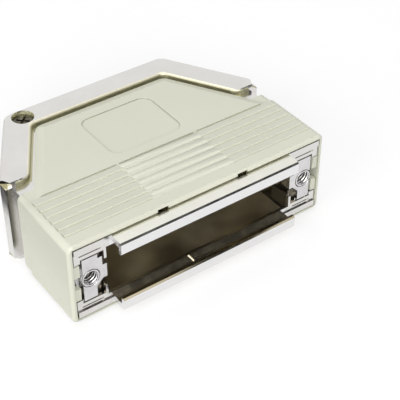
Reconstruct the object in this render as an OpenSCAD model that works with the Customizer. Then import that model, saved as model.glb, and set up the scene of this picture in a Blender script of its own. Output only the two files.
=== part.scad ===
// Hood for a 25-way D-sub connector, closed and empty.
// Two equal die-cast half shells meet on the middle plane, and two screws hold their rear ends.
// A moulded cover sleeve slides over their fronts, with a tongue inside each raised rim.
// Lengths are in millimetres. The mating side faces -y, and the hood lies on z 0.

/* [Connector] */
// Distance between the two locking holes
lock_pitch = 47.04; // [46:0.01:48]
// Distance from the locking holes to the flange's ends
flange_ear = 3.0; // [2.9:0.05:3.4]
// Height of the connector's flange
flange_h = 12.55; // [12.2:0.05:13]
// Clearance above and below the flange
flange_gap = 0.225; // [0.15:0.025:0.3]
// Clearance at each end of the flange
flange_side = 0.03; // [0.02:0.01:0.1]
// How far the rails lap over the flange
flange_lap = 0.86; // [0.3:0.02:0.9]
// How far the rails' ends lap over the flange
end_lap = 1.3; // [1:0.05:1.5]
// Thread diameter of the locking holes, 4-40 UNC
lock_d = 2.845; // [2.6:0.005:2.9]

/* [Shells] */
// Depth from the sleeve's front rim to the rear face
body_l = 39.8; // [38:0.1:46]
// Width of the straight part of the rear face
rear_w = 36.0; // [34:0.5:38]
// Distance from the front rim to the shoulders
shoulder_y = 20.5; // [19.5:0.1:22]
// Length of the straight side behind each shoulder
shoulder_l = 2.3; // [1.5:0.1:3]
// How far the shoulders stand out of the sleeve's sides
shoulder_step = 0.3; // [0.1:0.1:0.6]
// Radius of the rear corners
rear_r = 2.6; // [1.5:0.1:3]
// Thickness of the top and bottom walls
wall_t = 1.2; // [0.9:0.1:1.5]
// Thickness of the side walls under the sleeve
side_t = 1.2; // [0.9:0.1:1.4]
// Width of the raised rim, and of the wall below it
rim_w = 5.3; // [5:0.1:5.6]
// Height of the raised rim above the wall
rim_h = 1.3; // [1.2:0.1:1.8]
// Radius at the inner front end of each rim arm
rim_end_r = 3.0; // [1:0.5:4]
// Radius at the inner rear corners of the rim
rim_inner_r = 1.6; // [0.5:0.1:2]
// Bevel along the rim's edges
rim_bevel = 0.35; // [0.2:0.05:0.45]
// Length of the cut at each rim arm's outer front corner
rim_cut_l = 2.4; // [1:0.1:3]
// Width of that cut
rim_cut_w = 1.3; // [0.8:0.1:2]
// Depth of that cut
rim_cut_h = 1.0; // [0.6:0.1:1.2]

/* [Mating face] */
// Distance from the front rim to the rails behind the flange
rail_y = 0.3; // [0.2:0.05:1.2]
// Thickness of the rails
rail_t = 0.6; // [0.4:0.1:0.9]
// Width of the lips over and under the contacts
lip_w = 38.4; // [36:0.1:39]
// How far the lips stand out of the sleeve's rim
lip_out = 3.0; // [2.8:0.1:4]
// Height of the turned-in edge of each lip
lip_h = 2.6; // [1.9:0.1:2.8]
// Thickness of the turned-in edge
lip_t = 0.8; // [0.6:0.05:0.85]
// Bevel on the turned-in edge
lip_bevel = 0.3; // [0.1:0.05:0.35]
// Width of the pad in the middle of the flange's groove
seat_pad_w = 5.2; // [2:0.1:8]
// Length of this pad in front of the rail
seat_pad_l = 1.0; // [0.5:0.1:1.6]
// Height of the two slots in each end of the rails
slot_h = 0.25; // [0.15:0.05:0.3]
// Distance between these slots
slot_pitch = 0.6; // [0.5:0.05:0.8]
// Depth of the slots
slot_d = 0.35; // [0.2:0.05:0.4]
// Distance of the slots from the rails' ends
slot_end = 1.0; // [0.6:0.1:2]
// Width of the release notches in the walls and in the sleeve
notch_w = 2.3; // [2:0.1:4]
// Depth of the release notches in the walls
notch_d = 0.6; // [0.3:0.1:0.8]
// Depth of the release notches in the sleeve
notch_in = 0.4; // [0.2:0.1:0.4]
// Length of the release notches behind the front rim
notch_l = 1.2; // [0.8:0.1:2]

/* [Cover sleeve] */
// Clearance between the sleeve and the shells
fit = 0.3; // [0.25:0.05:0.35]
// Length of the sleeve's ring
sleeve_l = 17.4; // [16.5:0.1:18.2]
// Thickness of the ring's side walls
sleeve_side_t = 0.85; // [0.75:0.05:1.2]
// Radius along the ring's outer edges
sleeve_r = 1.3; // [1:0.1:1.6]
// Bevel around the front rim
sleeve_bevel = 0.45; // [0.2:0.05:0.6]
// Length of the stepped-down end of the ring
step_l = 2.8; // [2:0.1:3.4]
// Height of the grip ribs, and of the step
rib_h = 0.25; // [0.15:0.05:0.3]
// Distance from the front rim to the first rib
rib_first = 2.9; // [2.5:0.1:3.4]
// Number of grip ribs
rib_count = 6; // [4:1:7]
// Length of the rounded ribs in the middle
grip_w = 17.0; // [10:0.5:22]
// Gap between the rounded ribs
grip_gap = 0.2; // [0.1:0.05:0.4]
// Clearance between the tongue and the rim
tongue_gap = 0.75; // [0.4:0.05:0.9]
// Radius of the tongue's corners
tongue_r = 2.0; // [1.9:0.1:3]
// Width of the slope around the tongue
slope_w = 1.8; // [1:0.1:1.8]
// Depth of the slope at the tongue's edge
slope_h = 0.6; // [0.3:0.05:0.7]
// Width of the bare pad on the tongue
pad_w = 15.6; // [10:0.2:18]
// Depth of the bare pad from front to rear
pad_l = 13.0; // [8:0.2:14]
// How far the pad runs in over the ring
pad_lap = 0.6; // [0:0.1:1]
// Depth of the pad below the tongue
pad_d = 0.2; // [0.1:0.05:0.25]
// Radius of the pad's corners
pad_r = 2.2; // [1:0.1:3]
// Height of each key on the ring's inner sides
key_h = 2.6; // [2:0.1:3.2]
// Distance between the two keys of a side
key_gap = 2.6; // [1:0.1:2.8]
// How far the keys stand in from the ring
key_w = 1.25; // [0.8:0.05:1.3]

/* [Locking] */
// Diameter of the lock nuts' collars
nut_d = 3.5; // [3.4:0.05:3.6]
// Width across the lock nuts' square bodies
nut_w = 4.8; // [4.5:0.1:5]
// Thickness of the lock nuts' square bodies
nut_t = 1.5; // [1:0.1:2]
// Float of the lock nuts
nut_float = 0.15; // [0.1:0.05:0.2]
// Thickness of the lock brackets
bracket_t = 1.2; // [1:0.1:1.5]
// Distance from the locking holes to the brackets' outer edges
bracket_out = 1.55; // [1.2:0.05:1.6]
// Distance from the locking holes to the brackets' inner edges
bracket_in = 2.45; // [2.2:0.05:2.5]
// Size of the notch at each bracket's upper inner corner
bracket_notch = 0.9; // [0.6:0.1:1.2]
// Width of the cut at each bracket's lower inner corner
bracket_cut = 1.3; // [0.8:0.1:1.6]
// Distance from the locking holes down to this cut
bracket_cut_z = 1.2; // [0.8:0.1:1.6]
// Width of the brackets' bent tabs
tab_w = 3.6; // [3:0.1:4.4]
// Thickness of the bent tabs
tab_t = 0.6; // [0.5:0.1:0.8]
// Length of the bent tabs
tab_l = 1.2; // [0.8:0.1:2.8]
// Thickness of the webs behind the lock nuts
web_t = 0.8; // [0.6:0.1:1.2]
// Clearance around a jackscrew in the webs
jack_gap = 0.3; // [0.2:0.05:0.4]
// Thickness of the ribs beside the brackets
post_t = 0.5; // [0.4:0.1:0.8]
// Length of these ribs
post_l = 5.0; // [3:0.5:8]
// Height of these ribs below the rails
post_h = 2.4; // [1.5:0.1:3]
// Distance between these ribs and the brackets
post_gap = 0.35; // [0.3:0.05:0.5]

/* [Cable entries] */
// Width of the blanking plugs
plug_w = 13.3; // [12.5:0.1:13.6]
// Height of the blanking plugs
plug_h = 12.3; // [11.5:0.1:12.6]
// Thickness of the blanking plugs
plug_t = 3.8; // [3:0.1:4.4]
// Radius of the guide ribs on the plugs
plug_rib_r = 0.85; // [0.6:0.05:0.9]
// Clearance around the plugs
plug_fit = 0.12; // [0.08:0.02:0.2]
// Border around the plug's recessed face
plug_border = 1.1; // [0.9:0.1:2]
// Depth of the plug's recessed face
plug_recess = 0.8; // [0.4:0.1:1.1]
// Thickness of the plug's face
plug_face_t = 1.0; // [0.8:0.1:1.4]
// How far the plugs lie below the shells' faces
plug_sink = 0.4; // [0.2:0.1:0.6]
// Shift of the slanted entries toward the front
entry_shift = 1.0; // [0.8:0.1:1.2]

/* [Screws] */
// Thread diameter of the case screws
screw_d = 2.5; // [2:0.1:2.5]
// Head diameter of the case screws
screw_head_d = 4.1; // [3.6:0.1:4.1]
// Head height of the case screws
screw_head_h = 1.3; // [1:0.1:1.6]
// How far the heads lie below the rim
screw_sink = 0.8; // [0.3:0.1:0.8]
// Length of a case screw's shank
screw_l = 12.0; // [10:0.5:13]
// Distance of the case screws from the rear corners
screw_side = 2.7; // [2.5:0.1:3]
// Distance of the case screws from the rear face
screw_rear = 2.6; // [2.6:0.05:2.8]
// Clearance around the shanks and heads
screw_gap = 0.15; // [0.1:0.05:0.2]
// Free depth below the case screws' tips
screw_end = 0.8; // [0.3:0.1:1]
// Width of the cross recesses' arms
cross_w = 0.55; // [0.4:0.05:0.7]
// Depth of the cross recesses
cross_d = 0.8; // [0.5:0.1:0.9]

/* [Cable clamp] */
// Inner radius of the clamp's arch
clamp_r = 4.3; // [3:0.1:4.5]
// Thickness of the clamp
clamp_t = 1.2; // [0.8:0.1:1.3]
// Width of the clamp along the cable
clamp_l = 5.0; // [4:0.5:6]
// Distance between the clamp screws
clamp_pitch = 16.0; // [15.8:0.1:17]
// Length of the clamp's feet past the screws
clamp_foot = 2.0; // [1.6:0.1:2.4]
// Depth of the clamp's feet below the middle plane
clamp_drop = 2.0; // [1.5:0.1:2.5]
// Distance of the clamp screws from the rear wall
clamp_back = 3.6; // [3.4:0.1:5]
// Diameter of the clamp's bosses
boss_d = 4.6; // [4:0.1:5]
// Thread diameter of the clamp screws
clamp_screw_d = 2.0; // [1.6:0.1:2.2]
// Head diameter of the clamp screws
clamp_head_d = 3.6; // [3.2:0.1:3.8]
// Head height of the clamp screws
clamp_head_h = 1.2; // [0.9:0.1:1.4]
// Distance from the clamp screws' tips to the walls
clamp_tip = 0.7; // [0.4:0.1:1.5]

/* [Hidden] */
$fn = 48;

CASTING = "#c9c8c4";
STEEL = "#b9bcc0";
IVORY = "#dcdcc6";

// Overlap of joined solids, and overrun of cuts
eps = 0.01;
over = 0.05;
far = 4 * body_l;
// Shift of each arc toward its corner, so that it crosses the straight edges
slip = 0.01;
// Share of the radius by which a bevel laps past the ends of an arc
arc_lap = 0.15;

// Heights, measured outward from the plane where the shells meet
groove_top = flange_h / 2 + flange_gap;
rail_top = flange_h / 2 - flange_lap;
end_top = flange_h / 2 - end_lap;
key_top = key_gap / 2 + key_h;
shell_top = groove_top + wall_t;
rim_top = shell_top + rim_h;
lip_low = shell_top - lip_h;
sleeve_in = shell_top + fit;
ring_top = rim_top - rib_h;
mid_z = rim_top;

// Half widths, measured from the middle
lock_half = lock_pitch / 2;
front_half = lock_half + flange_ear + flange_side;
cavity_half = front_half - side_t;
ring_half = front_half + fit + sleeve_side_t;
shoulder_half = ring_half + shoulder_step;
rear_half = rear_w / 2;

// Places along the depth, measured from the sleeve's front rim
y_off = (lip_out - body_l) / 2;
chamfer_y = shoulder_y + shoulder_l;
step_y = sleeve_l - step_l;
rail_back = rail_y + rail_t;
bracket_back = rail_y + bracket_t;
nut_room_back = bracket_back + nut_t + 2 * nut_float;
side_y = bracket_back + fit;
inner_y = body_l - rim_w;
clamp_y = inner_y - clamp_back;
rib_pitch = (step_y - rib_first) / rib_count;

nut_room = nut_w / 2 + nut_float;
post_x = lock_half - bracket_in - post_gap - post_t;
screw_x = rear_half - screw_side;
screw_y = body_l - screw_rear;
screw_seat = rim_top - screw_sink - screw_head_h;
plug_half = plug_h / 2 + plug_fit;
clamp_screw_l = groove_top - clamp_drop + clamp_t - clamp_tip;

// Slope of the slanted rear sides, as width over depth
slant = (shoulder_half - rear_half) / (body_l - chamfer_y);
slant_len = norm([1, slant]);

// ---- Geometry helpers ----

// Half width of the slanted sides at y, moved inward by t
function inset_x(y, t) = shoulder_half - (y - chamfer_y) * slant - t * slant_len;

// Unit vector from a to b, and its angle
function dir(a, b) = (b - a) / norm(b - a);
function heading(a, b) = atan2(b[1] - a[1], b[0] - a[0]);

// Turn to the left at corner v of the path a, v, b
function turn(a, v, b) =
    let (t = heading(v, b) - heading(a, v), full = 360)
    t > full / 2 ? t - full : t < -full / 2 ? t + full : t;

// Centre of the arc of radius r at corner v, between its neighbours a and b
function arc_centre(a, v, b, r) =
    let (u = dir(v, a), w = dir(v, b))
    v + dir([0, 0], u + w) * (r / sin(acos(u * w) / 2) - slip);

// Distance from corner v to the ends of its arc of radius r
function arc_reach(a, v, b, r) = r / tan(acos(dir(v, a) * dir(v, b)) / 2);

// Area outside the arc of radius r at corner v, between its neighbours a and b
module corner_cut(a, v, b, r) {
    c = arc_centre(a, v, b, r);
    reach = arc_reach(a, v, b, r);
    difference() {
        polygon([c, v + dir(v, a) * reach, v + (v - c) / 3, v + dir(v, b) * reach]);
        translate(c) circle(r);
    }
}

// Square around the middle with round corners
module round_rect(w, l, r) {
    difference() {
        square([w, l], center = true);
        for (sx = [-1, 1])
            for (sy = [-1, 1])
                corner_cut([0, sy * l / 2], [sx * w / 2, sy * l / 2], [sx * w / 2, 0], r);
    }
}

// Section of the material that a bevel takes off, w across and h down from an edge at 0
module bevel_section(w, h) {
    polygon([[-over, -h - over * h / w], [-over, over], [w + over * w / h, over]]);
}

// Bevels the straight edge from a to c, with the material on its left
module edge_bevel(a, c, w, h) {
    translate([a[0], a[1], 0])
        rotate([90, 0, heading(a, c) + 90])
            linear_extrude(norm(c - a))
                bevel_section(w, h);
}

// Bevels the edge along path p at height 0, with the material on the path's left.
// The corners have the radii r, and a radius of 0 is for a sharp outward corner.
module path_bevel(p, r, w, h) {
    last = len(p) - 1;
    turns = [for (i = [0:last]) i == 0 || i == last ? 0 : turn(p[i - 1], p[i], p[i + 1])];
    ends = [for (i = [0:last]) turns[i] == 0 || r[i] == 0 ? 0
        : arc_reach(p[i - 1], p[i], p[i + 1], r[i]) - (turns[i] > 0 ? arc_lap * r[i] : 0)];
    for (i = [0:last - 1]) {
        d = dir(p[i], p[i + 1]);
        edge_bevel(p[i] + d * ends[i], p[i + 1] - d * ends[i + 1], w, h);
    }
    for (i = [1:last - 1]) if (r[i] > 0) {
        side = turns[i] > 0 ? 1 : -1;
        c = arc_centre(p[i - 1], p[i], p[i + 1], r[i]);
        lap = arc_lap * 180 / PI;
        translate([c[0], c[1], 0])
            rotate([0, 0, heading(p[i - 1], p[i]) - 90 * side + min(turns[i], 0) - lap])
                rotate_extrude(angle = abs(turns[i]) + 2 * lap)
                    translate([r[i], 0])
                        mirror([side > 0 ? 1 : 0, 0])
                            bevel_section(w, h);
    }
}

// Box from corner a to corner b
module box(a, b) {
    translate(a) cube(b - a);
}

// Sets the part so that y 0 is the middle of its depth and z 0 is its underside
module place() {
    translate([0, y_off, mid_z]) children();
}

// Draws a child for the upper half, and again for the lower half
module both_halves() {
    for (a = [0, 180]) rotate([0, a, 0]) children();
}

// ---- Half shell, with the split plane at 0 and its outside up ----

// Corners of the outline behind the shoulders, from right to left
function outer_path() = [
    [shoulder_half, shoulder_y], [shoulder_half, chamfer_y], [rear_half, body_l],
    [-rear_half, body_l], [-shoulder_half, chamfer_y], [-shoulder_half, shoulder_y]
];

// Corners of the line t inside the slanted and rear sides, from the right, starting at y
function inner_path(t, y) = [
    [inset_x(y, t), y], [inset_x(body_l - t, t), body_l - t],
    [-inset_x(body_l - t, t), body_l - t], [-inset_x(y, t), y]
];

// Outline with round corners at places i and i + 1 of path p
module rounded(p, i, r) {
    difference() {
        polygon(p);
        for (k = [i, i + 1]) corner_cut(p[k - 1], p[k], p[k + 1], r);
    }
}

module rear_block() {
    linear_extrude(rim_top) rounded(outer_path(), 2, rear_r);
}

// Space above the wall, inside the raised rim
module rim_recess() {
    p = inner_path(rim_w, shoulder_y);
    translate([0, 0, shell_top])
        linear_extrude(rim_h + over) {
            rounded(inner_path(rim_w, shoulder_y - rim_w), 1, rim_inner_r);
            for (s = [-1, 1])
                corner_cut([s * shoulder_half, shoulder_y], [s * p[0][0], shoulder_y],
                    [s * p[1][0], p[1][1]], rim_end_r);
        }
}

// Bevels along the rim's edges, and the cuts at the outer front corners
module rim_edges() {
    p = inner_path(rim_w, shoulder_y);
    arm = [for (i = [3:-1:0]) p[i]];
    inner = concat([[-shoulder_half, shoulder_y]], arm, [[shoulder_half, shoulder_y]]);
    translate([0, 0, rim_top]) {
        path_bevel(outer_path(), [0, 0, rear_r, rear_r, 0, 0], rim_bevel, rim_bevel);
        path_bevel(inner, [0, rim_end_r, rim_inner_r, rim_inner_r, rim_end_r, 0], rim_bevel, rim_bevel);
        for (s = [-1, 1])
            translate([s * shoulder_half, shoulder_y, -rim_cut_h])
                linear_extrude(rim_cut_h + over)
                    polygon([[s * over, -over], [-s * rim_cut_w, -over], [s * over, rim_cut_l]]);
    }
}

module cavity() {
    translate([0, 0, -over])
        linear_extrude(groove_top + over) {
            polygon(inner_path(rim_w, shoulder_y));
            translate([-cavity_half, rail_back])
                square([2 * cavity_half, chamfer_y - side_t - rail_back]);
        }
}

// Front end: the wall under the flange, the rail behind it with its raised ends, and the lip
module front_end() {
    box([-front_half, 0, groove_top], [front_half, rail_y + eps, shell_top]);
    box([-front_half, rail_y, rail_top], [front_half, rail_back, shell_top]);
    for (s = [-1, 1])
        mirror([s < 0 ? 1 : 0, 0, 0])
            box([post_x, rail_y, end_top], [front_half, rail_back, shell_top]);
    box([-seat_pad_w / 2, rail_y - seat_pad_l, flange_h / 2 + eps],
        [seat_pad_w / 2, rail_y + eps, shell_top - eps]);
    translate([lip_w / 2, 0, 0])
        rotate([90, 0, -90])
            linear_extrude(lip_w)
                polygon([
                    [-eps, shell_top], [-eps, groove_top],
                    [lip_out - lip_t, groove_top], [lip_out - lip_t, lip_low],
                    [lip_out - lip_bevel, lip_low], [lip_out, lip_low + lip_bevel],
                    [lip_out, shell_top - lip_bevel], [lip_out - lip_bevel, shell_top]
                ]);
}

// Slots in the ends of the rails, and release notches under the sleeve's front rim
module front_slots() {
    for (s = [-1, 1]) {
        mirror([s < 0 ? 1 : 0, 0, 0])
            for (i = [0, 1])
                translate([0, 0, groove_top - slot_h - i * slot_pitch])
                    box([post_x + slot_end, rail_y - over, 0],
                        [front_half - slot_end, rail_y + slot_d, slot_h]);
        release_notch(s, shell_top - notch_d, shell_top + over);
    }
}

// Release notch beside the middle grip on side s, from height z0 to z1
module release_notch(s, z0, z1) {
    x = s * (grip_w + grip_gap) / 2;
    box([x - notch_w / 2, -over, z0], [x + notch_w / 2, notch_l, z1]);
}

// Web that holds a lock nut behind its bracket, on side s
module lock_web(s) {
    mirror([s < 0 ? 1 : 0, 0, 0])
        box([lock_half - nut_room, bracket_back, 0],
            [cavity_half + eps, nut_room_back + web_t, groove_top + eps]);
}

// Room for a lock nut and its jackscrew, on side s
module lock_room(s) {
    translate([s * lock_half, 0, 0]) {
        box([-nut_room - (s > 0 ? over : 0), bracket_back - over, -over],
            [nut_room + (s < 0 ? over : 0), nut_room_back, nut_room]);
        translate([0, nut_room_back + web_t + over, 0])
            rotate([90, 0, 0])
                cylinder(h = web_t + 2 * over, d = lock_d + 2 * jack_gap);
    }
}

// Rib between the bracket and the connector's room, on side s
module post(s) {
    mirror([s < 0 ? 1 : 0, 0, 0])
        box([post_x, rail_y, rail_top - post_h], [post_x + post_t, rail_y + post_l, groove_top + eps]);
}

// Cable entry with grooves for a plug's guide ribs, its outer face at y 0 and its inside at -y
module entry() {
    w = plug_w / 2 + plug_fit;
    box([-w, -rim_w - wall_t, -over], [w, rim_w, plug_half]);
    for (s = [-1, 1])
        translate([s * plug_w / 2, -plug_sink - plug_t / 2, -over])
            cylinder(h = plug_half + over, r = plug_rib_r + plug_fit);
}

// Sets its children on the slanted face of side s, at the entry's middle
module on_slant(s) {
    y = (chamfer_y + body_l) / 2 - entry_shift / slant_len;
    mirror([s < 0 ? 1 : 0, 0, 0])
        translate([inset_x(y, 0), y, 0])
            rotate([0, 0, atan(slant) - 90])
                children();
}

// Screw hole with its counterbore on the left, and tapped hole for the other half's screw
module screw_holes() {
    translate([-screw_x, screw_y, -over])
        cylinder(h = rim_top, d = screw_d + 2 * screw_gap);
    translate([-screw_x, screw_y, screw_seat])
        cylinder(h = rim_top, d = screw_head_d + 2 * screw_gap);
    translate([screw_x, screw_y, -over])
        cylinder(h = screw_l - screw_seat + screw_end + over, d = screw_d);
}

module half_shell() {
    difference() {
        union() {
            difference() {
                union() {
                    rear_block();
                    box([-front_half, rail_y, 0], [front_half, shoulder_y + eps, shell_top]);
                }
                cavity();
                rim_recess();
                box([-far, -far, -over], [far, side_y, key_top + fit]);
                box([-cavity_half, -far, -over], [cavity_half, rail_back + over, groove_top]);
            }
            front_end();
            for (s = [-1, 1]) {
                lock_web(s);
                post(s);
                translate([s * clamp_pitch / 2, clamp_y, clamp_drop])
                    cylinder(h = groove_top - clamp_drop + eps, d = boss_d);
            }
        }
        for (s = [-1, 1]) {
            lock_room(s);
            on_slant(s) entry();
            translate([s * clamp_pitch / 2, clamp_y, clamp_drop - over])
                cylinder(h = clamp_screw_l, d = clamp_screw_d);
        }
        translate([0, body_l, 0]) entry();
        screw_holes();
        front_slots();
        rim_edges();
    }
}

module upper_shell() {
    color(CASTING) place() half_shell();
}

module lower_shell() {
    color(CASTING) place() rotate([0, 180, 0]) half_shell();
}

// ---- Cover sleeve ----

// Ring's outline from the front, moved inward by t
module ring_outline(t) {
    round_rect(2 * (ring_half - t), 2 * (ring_top - t), sleeve_r);
}

module ring() {
    w = ring_half;
    h = ring_top;
    rotate([90, 0, 0])
        difference() {
            union() {
                translate([0, 0, -step_y]) linear_extrude(step_y) ring_outline(0);
                translate([0, 0, -sleeve_l]) linear_extrude(step_l + eps) ring_outline(rib_h);
            }
            path_bevel([[0, -h], [w, -h], [w, h], [-w, h], [-w, -h], [0, -h]],
                [0, sleeve_r, sleeve_r, sleeve_r, sleeve_r, 0], sleeve_bevel, sleeve_bevel);
        }
}

// Toothed grip rib from x0 to x1, steep at its front y and sloping to the rear
module tooth_rib(x0, x1, y) {
    crest = rib_h / 2;
    translate([x1, y, 0])
        rotate([90, 0, -90])
            linear_extrude(x1 - x0)
                polygon([[0, ring_top - eps], [crest - rib_pitch, ring_top - eps],
                    [-2 * crest, rim_top], [-crest, rim_top]]);
}

// Rounded grip rib in the middle, with its front edge at y
module round_rib(y) {
    w = (rib_pitch - grip_gap) / 2;
    r = (w * w + rib_h * rib_h) / (2 * rib_h);
    intersection() {
        translate([-grip_w / 2, y + w, rim_top - r])
            rotate([0, 90, 0])
                cylinder(h = grip_w, r = r);
        box([-grip_w, y - rib_pitch, ring_top - eps], [grip_w, y + 2 * rib_pitch, rim_top + over]);
    }
}

// Tongue inside the raised rim, with a slope around its edge and a bare pad
module tongue() {
    t = rim_w + tongue_gap;
    p = inner_path(t, step_y);
    difference() {
        translate([0, 0, sleeve_in])
            linear_extrude(rim_top - sleeve_in) rounded(p, 1, tongue_r);
        translate([0, 0, rim_top]) {
            path_bevel(p, [0, tongue_r, tongue_r, 0], slope_w, slope_h);
            translate([0, sleeve_l - pad_lap + pad_l / 2, -pad_d])
                linear_extrude(rim_h) round_rect(pad_w, pad_l, pad_r);
        }
    }
}

// Keys on the left inner side, which stand beside the lock bracket
module keys() {
    x = -front_half - fit;
    for (z = [key_gap / 2, -key_top])
        box([x - eps, rail_y, z], [x + key_w, bracket_back - nut_float, z + key_h]);
}

module cover_sleeve() {
    edge = ring_half - sleeve_r;
    color(IVORY)
    place() {
        difference() {
            ring();
            box([-front_half - fit, -over, -sleeve_in], [front_half + fit, sleeve_l + over, sleeve_in]);
            both_halves()
                for (s = [-1, 1])
                    release_notch(s, sleeve_in - over, sleeve_in + notch_in);
        }
        both_halves() {
            for (i = [0:rib_count - 1]) {
                y = rib_first + i * rib_pitch;
                tooth_rib(grip_w / 2, edge, y);
                tooth_rib(-edge, -grip_w / 2, y);
                round_rib(y);
            }
            tongue();
            keys();
        }
    }
}

// ---- Locking ----

// Sets its children behind the rails on side s, with their z axis toward the rear
module at_lock(s) {
    place()
        translate([s * lock_half, rail_y, 0])
            mirror([s < 0 ? 1 : 0, 0, 0])
                rotate([-90, 0, 0])
                    children();
}

// Bracket between the rails and the webs, with a tab bent beside the nut
module lock_bracket(s) {
    tab_x = nut_room + nut_float;
    tall = end_top - fit;
    ear = groove_top - fit;
    cut_x = bracket_cut - bracket_in;
    color(STEEL)
    at_lock(s)
        difference() {
            union() {
                box([-bracket_in, -tall, 0], [bracket_out, tall, bracket_t]);
                box([-bracket_in, -ear, rail_t], [bracket_out, ear, bracket_t]);
                box([-tab_x - tab_t, -tab_w / 2, 0], [eps - bracket_in, bracket_cut_z, bracket_t]);
                box([-tab_x - tab_t, -tab_w / 2, 0], [-tab_x, bracket_cut_z, bracket_t + tab_l]);
            }
            translate([0, 0, -over])
                cylinder(h = bracket_t + 2 * over, d = nut_d + 2 * nut_float);
            box([-bracket_in - over, -groove_top, -over],
                [bracket_notch - bracket_in, bracket_notch - tall, bracket_t + over]);
            translate([0, 0, -over])
                linear_extrude(bracket_t + 2 * over)
                    polygon([[-bracket_in - over, bracket_cut_z], [-bracket_in, bracket_cut_z],
                        [cut_x, bracket_cut_z + bracket_cut], [cut_x, groove_top],
                        [-bracket_in - over, groove_top]]);
        }
}

// Threaded lock nut with a collar through the bracket
module lock_nut(s) {
    half = nut_w / 2;
    back = bracket_t + nut_float;
    color(STEEL)
    at_lock(s)
        difference() {
            union() {
                cylinder(h = back + eps, d = nut_d);
                box([-half, -half, back], [half, half, back + nut_t]);
            }
            translate([0, 0, -over])
                cylinder(h = back + nut_t + 2 * over, d = lock_d);
        }
}

module lock_bracket_left() lock_bracket(-1);
module lock_bracket_right() lock_bracket(1);
module lock_nut_left() lock_nut(-1);
module lock_nut_right() lock_nut(1);

// ---- Blanking plugs ----

module blanking_plug(s) {
    w = plug_w / 2;
    h = plug_h / 2;
    in = plug_border;
    color(CASTING)
    place()
    on_slant(s)
    translate([0, -plug_sink, 0])
        difference() {
            union() {
                box([-w, -plug_t, -h], [w, 0, h]);
                for (a = [-1, 1])
                    translate([a * w, -plug_t / 2, in - h])
                        cylinder(h = 2 * (h - in), r = plug_rib_r);
            }
            box([in - w, -plug_recess, in - h], [w - in, over, h - in]);
            box([in - w, -plug_t - over, in - h], [w - in, -plug_recess - plug_face_t, h - in]);
        }
}

module blanking_plug_left() blanking_plug(-1);
module blanking_plug_right() blanking_plug(1);

// ---- Cable clamp and screws ----

module cable_clamp() {
    out = clamp_r + clamp_t;
    foot = clamp_pitch / 2 + clamp_foot;
    color(STEEL)
    place()
    translate([0, clamp_y, -clamp_drop])
        difference() {
            rotate([90, 0, 0])
                translate([0, 0, -clamp_l / 2])
                    linear_extrude(clamp_l)
                        difference() {
                            union() {
                                circle(out);
                                translate([-foot, 0]) square([2 * foot, clamp_t]);
                            }
                            circle(clamp_r);
                            translate([-far / 2, -far]) square([far, far]);
                        }
            for (s = [-1, 1])
                translate([s * clamp_pitch / 2, 0, -over])
                    cylinder(h = clamp_t + 2 * over, d = clamp_screw_d + 2 * screw_gap);
        }
}

// Screw that points down, with the underside of its head at the origin
module screw(d, head_d, head_h, l) {
    difference() {
        union() {
            translate([0, 0, -l]) cylinder(h = l + eps, d = d);
            cylinder(h = head_h, d = head_d);
        }
        for (a = [45, -45])
            rotate([0, 0, a])
                box([-head_d / 3, -cross_w / 2, head_h - cross_d], [head_d / 3, cross_w / 2, head_h + over]);
    }
}

module clamp_screw(s) {
    color(STEEL)
    place()
    translate([s * clamp_pitch / 2, clamp_y, clamp_t - clamp_drop])
        screw(clamp_screw_d, clamp_head_d, clamp_head_h, clamp_screw_l);
}

module case_screw() {
    translate([-screw_x, screw_y, screw_seat])
        screw(screw_d, screw_head_d, screw_head_h, screw_l);
}

module clamp_screw_left() clamp_screw(-1);
module clamp_screw_right() clamp_screw(1);

module case_screw_upper() {
    color(STEEL) place() case_screw();
}

module case_screw_lower() {
    color(STEEL) place() rotate([0, 180, 0]) case_screw();
}

upper_shell();
lower_shell();
cover_sleeve();
lock_bracket_left();
lock_bracket_right();
lock_nut_left();
lock_nut_right();
blanking_plug_left();
blanking_plug_right();
cable_clamp();
clamp_screw_left();
clamp_screw_right();
case_screw_upper();
case_screw_lower();
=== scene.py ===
"""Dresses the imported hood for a 25-way D-sub connector, and sets its stage, lights and camera."""

import math

import bmesh
import bpy
from mathutils import Matrix, Vector

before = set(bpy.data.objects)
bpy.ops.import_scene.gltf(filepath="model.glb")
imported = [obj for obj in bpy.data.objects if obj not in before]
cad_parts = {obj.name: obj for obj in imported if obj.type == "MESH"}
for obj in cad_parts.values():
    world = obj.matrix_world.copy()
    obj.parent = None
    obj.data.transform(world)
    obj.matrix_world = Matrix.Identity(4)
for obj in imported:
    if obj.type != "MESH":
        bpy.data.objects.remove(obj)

bl_info = {
    "name": "Connector hood look",
    "version": (1, 0, 0),
    "blender": (4, 5, 0),
    "location": "View3D > Sidebar > Hood",
    "description": "Dresses the packed connector hood and sets its stage",
    "category": "Object",
}

MM = 0.001
WELD_DISTANCE = 0.001 * MM
BEVEL_ANGLE = math.radians(32)

# The hood's own places: y of the sleeve's front rim, z of the plane where the halves meet, the
# body's length, the width that its slanted sides lose over their depth, and half the width at
# which they would reach the front rim.
FRONT_Y = -18.4 * MM
MIDDLE_Z = 9.0 * MM
BODY_LENGTH = 39.8 * MM
SIDE_SLOPE = 0.588
SIDE_REACH = 41.4 * MM
SLANT_COSINE = 0.862

# Half the width over which a mask fades, and the places from the middle of the rounded ribs' ends
# and of the release notches, all in millimetres.
MASK_FADE = 0.05
GRIP_END = 8.5
NOTCH_PLACE = 8.6

# Name, place, size in metres and power in watts
LAMPS = (
    ("key", (-0.3, -0.62, 0.42), 0.5, 4.0),
    ("side", (-0.7, -0.1, 0.3), 0.5, 2.2),
    ("top", (0.15, 0.25, 0.7), 0.5, 0.8),
)
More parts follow.
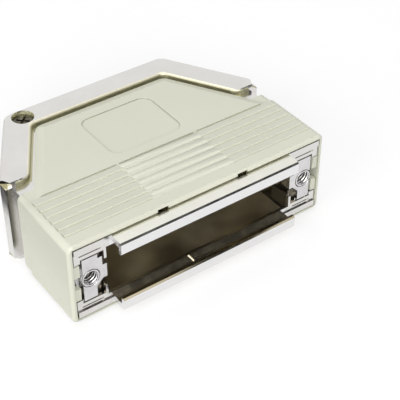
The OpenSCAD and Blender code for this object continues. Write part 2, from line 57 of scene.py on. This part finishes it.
# Name, place, width and length of the cards that give the polished metal its dark edges
FLAGS = (
    ("flag_front", (0.23, -0.32, 0.32), 0.22, 0.3),
    # The card on the floor by the hood's left side lies where the hood's shadow falls: a painted
    # shadow that only the metal sees, which darkens its left faces.
    ("floor_shadow_flag", (-0.052, 0.012, 0.0002), 0.036, 0.07),
    ("flag_rear", (-0.11, 0.52, 0.06), 0.16, 0.1),
)
FLAT_FLAG_TOP = 0.01
FLOOR_SIZE = 6.0
WORLD_LIGHT = 0.5
FLOOR_GLOW_NEAR, FLOOR_GLOW_FAR = 0.52, 0.75
FLOOR_NEAR, FLOOR_FAR = 0.25, 1.0

CAMERA_PLACE = (-0.0886, -0.13815, 0.1369)
CAMERA_ROLL = math.radians(0.29)
SENSOR_WIDTH = 36.0

SHELLS = ("upper_shell", "lower_shell")
PLUGS = ("blanking_plug_left", "blanking_plug_right")
CLAMP = ("cable_clamp",)
BRACKETS = ("lock_bracket_left", "lock_bracket_right")
NUTS = ("lock_nut_left", "lock_nut_right")
CLAMP_SCREWS = ("clamp_screw_left", "clamp_screw_right")
CASE_SCREWS = ("case_screw_upper", "case_screw_lower")


# ---- Node materials ----


class Nodes:
    """A material's node tree, with short calls that add and link nodes."""

    def __init__(self, name):
        self.material = bpy.data.materials.new(name)
        self.material.use_nodes = True
        self.tree = self.material.node_tree
        self.tree.nodes.clear()
        self.output = self.add("ShaderNodeOutputMaterial")
        self.shader = self.add("ShaderNodeBsdfPrincipled")
        self.link(self.shader.outputs["BSDF"], self.output.inputs["Surface"])
        texture = self.add("ShaderNodeTexCoord")
        self.coords = texture.outputs["Object"]
        self.normal = texture.outputs["Normal"]

    def add(self, kind, **inputs):
        node = self.tree.nodes.new(kind)
        for key, value in inputs.items():
            setattr(node, key, value)
        return node

    def link(self, source, target):
        self.tree.links.new(source, target)

    def set(self, **values):
        """Sets the shader's own sockets; a name's underscores stand for spaces."""
        for key, value in values.items():
            self.shader.inputs[key.replace("_", " ")].default_value = value

    def noise(self, scale, detail=4.0, roughness=0.55, stretch=(1, 1, 1)):
        """Noise with features of about 1 / scale metres."""
        mapping = self.add("ShaderNodeMapping")
        mapping.inputs["Scale"].default_value = stretch
        self.link(self.coords, mapping.inputs["Vector"])
        noise = self.add("ShaderNodeTexNoise")
        noise.inputs["Scale"].default_value = scale
        noise.inputs["Detail"].default_value = detail
        noise.inputs["Roughness"].default_value = roughness
        self.link(mapping.outputs["Vector"], noise.inputs["Vector"])
        return noise.outputs["Fac"]

    def ramp(self, source, low, high, from_min=0.35, from_max=0.65):
        """Maps a factor to numbers from low to high."""
        node = self.add("ShaderNodeMapRange")
        for name, value in (
            ("From Min", from_min),
            ("From Max", from_max),
            ("To Min", low),
            ("To Max", high),
        ):
            node.inputs[name].default_value = value
        self.link(source, node.inputs["Value"])
        return node.outputs["Result"]

    def feed(self, socket, value):
        """Links a node's output to a socket, or sets a plain number or colour on it."""
        if isinstance(value, bpy.types.NodeSocket):
            self.link(value, socket)
        else:
            socket.default_value = (*value, 1) if isinstance(value, tuple) else value

    def mix(self, factor, first, second):
        """Mixes two colours by a factor."""
        node = self.add("ShaderNodeMix", data_type="RGBA")
        for name, value in (("Factor", factor), ("A", first), ("B", second)):
            self.feed(node.inputs[name], value)
        return node.outputs["Result"]

    def math(self, operation, first, second=0.0):
        """One step of arithmetic on numbers or node outputs."""
        node = self.add("ShaderNodeMath", operation=operation)
        self.feed(node.inputs[0], first)
        self.feed(node.inputs[1], second)
        return node.outputs[0]

    def split(self, vector):
        """The x, y and z of a vector."""
        node = self.add("ShaderNodeSeparateXYZ")
        self.link(vector, node.inputs[0])
        return node.outputs[:3]

    def within(self, *spans):
        """1 where each length lies in its span of millimetres; None leaves an end of it open."""
        masks = []
        for value, low, high in spans:
            for limit, under, over in ((low, 0.0, 1.0), (high, 1.0, 0.0)):
                if limit is not None:
                    start, end = (limit - MASK_FADE) * MM, (limit + MASK_FADE) * MM
                    masks.append(self.ramp(value, under, over, start, end))
        total = masks[0]
        for mask in masks[1:]:
            total = self.math("MULTIPLY", total, mask)
        return total

    def crease_shade(self, reach, open_share):
        """0 in the creases of the piece itself, 1 on its open faces; it marks where shade is
        painted.
        """
        node = self.add("ShaderNodeAmbientOcclusion", samples=8, only_local=True)
        node.inputs["Distance"].default_value = reach
        return self.ramp(node.outputs["AO"], 0.0, 1.0, 0.5, open_share)

    def bump(self, *layers):
        """Stacks bumps, each a (height, strength, distance) triple, on the shader."""
        normal = None
        for height, strength, distance in layers:
            node = self.add("ShaderNodeBump")
            node.inputs["Strength"].default_value = strength
            node.inputs["Distance"].default_value = distance
            self.link(height, node.inputs["Height"])
            if normal is not None:
                self.link(normal, node.inputs["Normal"])
            normal = node.outputs["Normal"]
        self.link(normal, self.shader.inputs["Normal"])


def moulded_plastic(settings):
    """Satin ivory plastic with a fine moulded skin and painted shade in its own creases."""
    nodes = Nodes("ivory_plastic")
    nodes.set(IOR=1.5)
    cloud = nodes.ramp(nodes.noise(70.0), 0.0, 1.0)
    tint = nodes.mix(cloud, (0.635, 0.64, 0.53), (0.655, 0.655, 0.55))
    # Painted shade: the ivory turns grey-olive in the piece's own creases, found by ambient
    # occlusion, but not at the rounded ends of the ribs.
    side = nodes.math("ABSOLUTE", nodes.split(nodes.coords)[0])
    grip_end = nodes.within((side, GRIP_END - 0.3, GRIP_END + 0.3))
    unshaded_face = nodes.math("MAXIMUM", nodes.crease_shade(0.35 * MM, 0.95), grip_end)
    tint = nodes.mix(unshaded_face, (0.33, 0.34, 0.26), tint)
    nodes.link(tint, nodes.shader.inputs["Base Color"])
    nodes.link(nodes.ramp(nodes.noise(600.0), 0.34, 0.42), nodes.shader.inputs["Roughness"])
    nodes.bump(
        (nodes.noise(240.0, detail=2.0), 0.06, 0.05 * MM),
        (nodes.noise(2600.0, detail=3.0), settings.skin_strength, 0.02 * MM),
    )
    return nodes.material


def painted_light_masks(nodes):
    """Masks of the places on the shells where shade, highlights and reflections are painted over
    the plating.

    Spans are of the distance to the side from the middle, the depth behind the sleeve's front rim,
    the height over or under the middle plane, and the way inward from the slanted and rear sides.
    Facing is the height where a face looks away from the middle plane, and negative where it
    looks toward it.
    """
    x, y, z = nodes.split(nodes.coords)
    side = nodes.math("ABSOLUTE", x)
    depth = nodes.math("SUBTRACT", y, FRONT_Y)
    level = nodes.math("SUBTRACT", z, MIDDLE_Z)
    height = nodes.math("ABSOLUTE", level)
    facing = nodes.math("MULTIPLY", nodes.split(nodes.normal)[2], level)
    spread = nodes.math("ADD", side, nodes.math("MULTIPLY", depth, SIDE_SLOPE))
    from_slant = nodes.math("MULTIPLY", nodes.math("SUBTRACT", SIDE_REACH, spread), SLANT_COSINE)
    inward = nodes.math("MINIMUM", nodes.math("SUBTRACT", BODY_LENGTH, depth), from_slant)

    cavity = nodes.within(
        (height, None, 6.7), (side, None, 26.5), (depth, 1.0, None), (inward, 1.0, None),
    )
    lips = nodes.within((side, None, 19.6), (depth, None, 0.45))
    behind_cuts = nodes.math(
        "MAXIMUM", nodes.within((depth, 24.0, None)), nodes.within((inward, 2.9, None)),
    )
    rim_wall = nodes.within((inward, 0.3, 5.7), (depth, 20.4, None), (height, 7.0, 8.83))
    return {
        "lips": lips,
        "lip_tops": nodes.math("MULTIPLY", lips, nodes.within((facing, 5.0, None))),
        "cavity": cavity,
        "pockets": nodes.math(
            "MULTIPLY", cavity, nodes.within((side, 19.8, None), (depth, None, 8.0)),
        ),
        "lip_insides": nodes.math("MULTIPLY", lips, nodes.within((facing, None, -1.0))),
        "rim_wall": nodes.math("MULTIPLY", rim_wall, behind_cuts),
        "rim_edge": nodes.within((inward, 4.9, 5.7), (depth, 20.4, None), (height, 8.83, None)),
        "rim_cuts": nodes.within((inward, None, 1.45), (depth, 20.45, 23.6), (height, 7.9, 8.7)),
        "notches": nodes.within(
            (side, NOTCH_PLACE - 1.3, NOTCH_PLACE + 1.3), (depth, 0.42, 1.3), (height, 6.85, 7.68),
        ),
    }


# Colours painted on those places, or two that alternate in patches, and the added roughness.
# Later places lie over earlier ones. The colours are painted light, not the plating's own:
# painted highlights on the lips' fronts and tops; painted shade, in patches, in the cavity, and
# painted shade in its pockets, on the rim's inner wall and in the release notches; painted
# reflections, brown on the lips' inner faces, ochre on the rim's edge and dark in the rim's cuts.
# The added roughness is the plating's own.
SHELL_PAINTED_LIGHT = (
    ("lips", ((0.79, 0.785, 0.785),), 0.0),
    ("lip_tops", ((0.77, 0.76, 0.69),), 0.0),
    ("cavity", ((0.34, 0.3, 0.21), (0.9, 0.84, 0.68)), 0.2),
    ("pockets", ((0.2, 0.18, 0.14),), 0.0),
    ("lip_insides", ((0.52, 0.46, 0.33),), 0.0),
    ("rim_wall", ((0.5, 0.48, 0.33),), 0.25),
    ("rim_edge", ((0.78, 0.74, 0.58),), 0.35),
    ("rim_cuts", ((0.42, 0.4, 0.3),), 0.0),
    ("notches", ((0.2, 0.18, 0.13),), 0.0),
)


def plated_casting(settings, name="plated_casting", hollow=False):
    """Satin nickel plate over a fine-grained die casting; a hollow shell is duller inside and has
    painted shade, highlights and reflections.
    """
    nodes = Nodes(name)
    nodes.set(Metallic=1.0)
    cloud = nodes.ramp(nodes.noise(110.0), 0.0, 1.0)
    tint = nodes.mix(cloud, (0.69, 0.675, 0.65), (0.725, 0.712, 0.69))
    rough = nodes.ramp(nodes.noise(500.0), 0.16, 0.22)
    if hollow:
        masks = painted_light_masks(nodes)
        patches = nodes.ramp(nodes.noise(60.0, detail=2.0), 0.0, 1.0, 0.42, 0.6)
        # Paints each place's painted shade, highlight or reflection over the plating's tint.
        for place, colours, added in SHELL_PAINTED_LIGHT:
            colour = nodes.mix(patches, *colours) if len(colours) > 1 else colours[0]
            tint = nodes.mix(masks[place], tint, colour)
            if added:
                rough = nodes.math("ADD", rough, nodes.math("MULTIPLY", masks[place], added))
    nodes.link(tint, nodes.shader.inputs["Base Color"])
    nodes.link(rough, nodes.shader.inputs["Roughness"])
    nodes.bump(
        (nodes.noise(180.0, detail=2.0), 0.05, 0.05 * MM),
        (nodes.noise(2200.0, detail=3.0), settings.grain_strength, 0.01 * MM),
    )
    return nodes.material


def plated_steel(settings, name="plated_steel", pitch=0.0):
    """Bright plated steel for the small pieces; a pitch adds the turns of a thread."""
    nodes = Nodes(name)
    nodes.set(Metallic=1.0)
    cloud = nodes.ramp(nodes.noise(400.0), 0.0, 1.0)
    tint = nodes.mix(cloud, (0.62, 0.61, 0.61), (0.7, 0.69, 0.69))
    nodes.link(tint, nodes.shader.inputs["Base Color"])
    nodes.link(nodes.ramp(nodes.noise(1500.0), 0.18, 0.28), nodes.shader.inputs["Roughness"])
    layers = [(nodes.noise(3000.0, detail=3.0), settings.grain_strength, 0.01 * MM)]
    if pitch > 0:
        depth = nodes.split(nodes.coords)[1]
        turns = nodes.math("SINE", nodes.math("MULTIPLY", depth, 2 * math.pi / pitch))
        layers.append((nodes.ramp(turns, 0.0, 1.0, -1.0, 1.0), 1.0, 0.15 * MM))
    nodes.bump(*layers)
    return nodes.material


def dark_mottled_screw(settings):
    """Dark steel mottled at random with lighter patches, for the case screws."""
    nodes = Nodes("dark_mottled_screw")
    nodes.set(Metallic=1.0)
    lighter_patches = nodes.ramp(nodes.noise(900.0), 0.0, 1.0, 0.45, 0.7)
    tint = nodes.mix(lighter_patches, (0.12, 0.112, 0.08), (0.42, 0.4, 0.34))
    nodes.link(tint, nodes.shader.inputs["Base Color"])
    nodes.link(nodes.ramp(nodes.noise(1500.0), 0.14, 0.24), nodes.shader.inputs["Roughness"])
    nodes.bump((nodes.noise(2400.0, detail=3.0), settings.grain_strength, 0.02 * MM))
    return nodes.material


# ---- Dressing the carried-over nodes ----


def dress(name, material, edge, segments=2):
    """Gives a CAD node its material and rounds its edges as moulds and plating do."""
    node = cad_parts[name]
    if not node.material_slots:
        node.data.materials.append(material)
    for slot in node.material_slots:
        slot.material = material
    if edge > 0:
        weld = node.modifiers.new("joined", "WELD")
        weld.merge_threshold = WELD_DISTANCE
        bevel = node.modifiers.new("edges", "BEVEL")
        bevel.width = edge
        bevel.segments = segments
        bevel.limit_method = "ANGLE"
        bevel.angle_limit = BEVEL_ANGLE
        bevel.miter_outer = "MITER_ARC"
        bevel.harden_normals = True
        bevel.use_clamp_overlap = True
    return node


class HoodSettings(bpy.types.PropertyGroup):
    """Sizes and strengths that the operators read."""

    shell_edge: bpy.props.FloatProperty(
        name="Shell edge",
        description="Radius that plating leaves on the castings' edges",
        default=0.08 * MM,
        unit="LENGTH",
    )
    sleeve_edge: bpy.props.FloatProperty(
        name="Sleeve edge",
        description="Radius on the moulded sleeve's edges",
        default=0.1 * MM,
        unit="LENGTH",
    )
    small_edge: bpy.props.FloatProperty(
        name="Small edge",
        description="Radius on the edges of the small metal pieces",
        default=0.06 * MM,
        unit="LENGTH",
    )
    grain_strength: bpy.props.FloatProperty(
        name="Grain",
        description="Strength of the casting's fine grain",
        default=0.12,
        subtype="FACTOR",
    )
    skin_strength: bpy.props.FloatProperty(
        name="Skin",
        description="Strength of the plastic's moulded skin",
        default=0.1,
        subtype="FACTOR",
    )
    nut_pitch: bpy.props.FloatProperty(
        name="Nut pitch",
        description="Pitch of the thread in the lock nuts",
        default=0.635 * MM,
        unit="LENGTH",
    )
    camera_azimuth: bpy.props.FloatProperty(
        name="Azimuth",
        description="Direction of the camera around the hood",
        default=math.radians(-36.23),
        subtype="ANGLE",
    )
    camera_elevation: bpy.props.FloatProperty(
        name="Elevation",
        description="Height of the camera above the horizon",
        default=math.radians(39.27),
        subtype="ANGLE",
    )
    camera_lens: bpy.props.FloatProperty(
        name="Lens",
        description="Focal length of the camera in millimetres",
        default=98.37,
    )


class HOOD_OT_shells(bpy.types.Operator):
    """Dress the two die-cast half shells and the plugs between them"""

    bl_idname = "hood.shells"
    bl_label = "Half shells"

    def execute(self, context):
        settings = context.scene.hood
        for names, material in (
            (SHELLS, plated_casting(settings, "shell_casting", hollow=True)),
            (PLUGS, plated_casting(settings, "plug_casting")),
        ):
            for name in names:
                dress(name, material, settings.shell_edge)
        return {"FINISHED"}


class HOOD_OT_sleeve(bpy.types.Operator):
    """Dress the moulded cover sleeve"""

    bl_idname = "hood.sleeve"
    bl_label = "Cover sleeve"

    def execute(self, context):
        settings = context.scene.hood
        dress("cover_sleeve", moulded_plastic(settings), settings.sleeve_edge)
        return {"FINISHED"}


class HOOD_OT_fittings(bpy.types.Operator):
    """Dress the lock brackets and nuts, the cable clamp and the screws"""

    bl_idname = "hood.fittings"
    bl_label = "Fittings"

    def execute(self, context):
        settings = context.scene.hood
        material = plated_steel(settings)
        for name in BRACKETS + CLAMP + CLAMP_SCREWS:
            dress(name, material, settings.small_edge)
        material = plated_steel(settings, "threaded_steel", settings.nut_pitch)
        for name in NUTS:
            dress(name, material, settings.small_edge)
        material = dark_mottled_screw(settings)
        for name in CASE_SCREWS:
            dress(name, material, settings.small_edge)
        return {"FINISHED"}


def shown_white(tree, low):
    """A number that is 1 where the camera, metal or glass looks, and low for the light it gives."""
    path = tree.nodes.new("ShaderNodeLightPath")
    total = path.outputs["Is Camera Ray"]
    for name in ("Is Glossy Ray", "Is Transmission Ray"):
        add = tree.nodes.new("ShaderNodeMath")
        add.use_clamp = True
        tree.links.new(total, add.inputs[0])
        tree.links.new(path.outputs[name], add.inputs[1])
        total = add.outputs[0]
    level = tree.nodes.new("ShaderNodeMapRange")
    level.inputs["To Min"].default_value = low
    tree.links.new(total, level.inputs["Value"])
    return level


def stage_white():
    """Pale floor that shows white where nothing shades it, and keeps half of a shadow."""
    nodes = Nodes("stage_white")
    nodes.set(Roughness=1.0, Specular_IOR_Level=0.0)
    nodes.shader.inputs["Base Color"].default_value = (0.5, 0.5, 0.5, 1)
    nodes.shader.inputs["Emission Color"].default_value = (1, 1, 1, 1)
    glow = shown_white(nodes.tree, 0.0)
    distance = nodes.add("ShaderNodeVectorMath", operation="LENGTH")
    nodes.link(nodes.coords, distance.inputs[0])
    lit = nodes.ramp(
        distance.outputs["Value"], FLOOR_GLOW_NEAR, FLOOR_GLOW_FAR, FLOOR_NEAR, FLOOR_FAR,
    )
    nodes.link(lit, glow.inputs["To Max"])
    nodes.link(glow.outputs["Result"], nodes.shader.inputs["Emission Strength"])
    return nodes.material


def flag_black():
    """Dull black card."""
    nodes = Nodes("flag_black")
    nodes.set(Roughness=1.0, Specular_IOR_Level=0.0)
    nodes.shader.inputs["Base Color"].default_value = (0.02, 0.02, 0.02, 1)
    return nodes.material


def card(name, width, length, material):
    """A flat card around the origin, facing up."""
    mesh = bpy.data.meshes.new(name)
    made = bmesh.new()
    bmesh.ops.create_grid(made, x_segments=1, y_segments=1, size=0.5)
    bmesh.ops.scale(made, vec=(width, length, 1), verts=made.verts)
    made.to_mesh(mesh)
    made.free()
    mesh.materials.append(material)
    made_object = bpy.data.objects.new(name, mesh)
    bpy.context.collection.objects.link(made_object)
    return made_object


def aimed(place):
    """Rotation that turns -Z from a place to the hood's middle."""
    return (Vector((0, 0, MIDDLE_Z)) - Vector(place)).to_track_quat("-Z", "Y")


class HOOD_OT_stage(bpy.types.Operator):
    """Make the floor, the lamps, the world and the camera"""

    bl_idname = "hood.stage"
    bl_label = "Stage"

    def execute(self, context):
        card("floor", FLOOR_SIZE, FLOOR_SIZE, stage_white())
        self.flags()
        self.lamps(context)
        self.world(context)
        self.camera(context)
        return {"FINISHED"}

    def flags(self):
        """Black cards that only polished metal sees, which give it its dark edges; the one lying on
        the floor is a painted shadow.
        """
        black = flag_black()
        for name, place, width, length in FLAGS:
            flag = card(name, width, length, black)
            flag.location = place
            if place[2] > FLAT_FLAG_TOP:
                flag.rotation_mode = "QUATERNION"
                flag.rotation_quaternion = aimed(place)
            flag.visible_camera = False
            flag.visible_diffuse = False
            flag.visible_shadow = False
            flag.visible_transmission = False

    def lamps(self, context):
        for name, place, size, power in LAMPS:
            light = bpy.data.lights.new(name, "AREA")
            light.energy = power
            light.size = size
            lamp = bpy.data.objects.new(name, light)
            lamp.location = place
            lamp.rotation_mode = "QUATERNION"
            lamp.rotation_quaternion = aimed(place)
            context.collection.objects.link(lamp)

    def world(self, context):
        world = bpy.data.worlds.new("studio")
        world.use_nodes = True
        tree = world.node_tree
        background = tree.nodes["Background"]
        background.inputs["Color"].default_value = (1, 1, 1, 1)
        level = shown_white(tree, WORLD_LIGHT)
        tree.links.new(level.outputs["Result"], background.inputs["Strength"])
        context.scene.world = world

    def camera(self, context):
        settings = context.scene.hood
        azimuth = settings.camera_azimuth
        elevation = settings.camera_elevation
        back = Vector((
            math.sin(azimuth) * math.cos(elevation),
            -math.cos(azimuth) * math.cos(elevation),
            math.sin(elevation),
        ))
        data = bpy.data.cameras.new("camera")
        data.lens = settings.camera_lens
        data.sensor_width = SENSOR_WIDTH
        data.clip_start = 0.01
        data.clip_end = 20.0
        camera = bpy.data.objects.new("camera", data)
        camera.rotation_mode = "QUATERNION"
        level = (-back).to_track_quat("-Z", "Y").to_matrix()
        turned = Matrix.Rotation(CAMERA_ROLL, 3, back) @ level
        camera.rotation_quaternion = turned.to_quaternion()
        camera.location = CAMERA_PLACE
        context.collection.objects.link(camera)
        context.scene.camera = camera


class HOOD_PT_panel(bpy.types.Panel):
    """The hood's settings and steps"""

    bl_idname = "HOOD_PT_panel"
    bl_label = "Connector hood"
    bl_space_type = "VIEW_3D"
    bl_region_type = "UI"
    bl_category = "Hood"

    def draw(self, context):
        layout = self.layout
        for name in HoodSettings.__annotations__:
            layout.prop(context.scene.hood, name)
        for step in STEPS:
            layout.operator(step.bl_idname)


STEPS = (HOOD_OT_shells, HOOD_OT_sleeve, HOOD_OT_fittings, HOOD_OT_stage)
CLASSES = (HoodSettings,) + STEPS + (HOOD_PT_panel,)


def register():
    for cls in CLASSES:
        bpy.utils.register_class(cls)
    bpy.types.Scene.hood = bpy.props.PointerProperty(type=HoodSettings)


def unregister():
    del bpy.types.Scene.hood
    for cls in reversed(CLASSES):
        bpy.utils.unregister_class(cls)


def main():
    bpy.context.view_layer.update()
    register()
    bpy.context.scene.view_settings.view_transform = "Standard"
    for step in STEPS:
        group, name = step.bl_idname.split(".")
        getattr(getattr(bpy.ops, group), name)()
    bpy.context.view_layer.update()


if __name__ == "__main__":
    main()
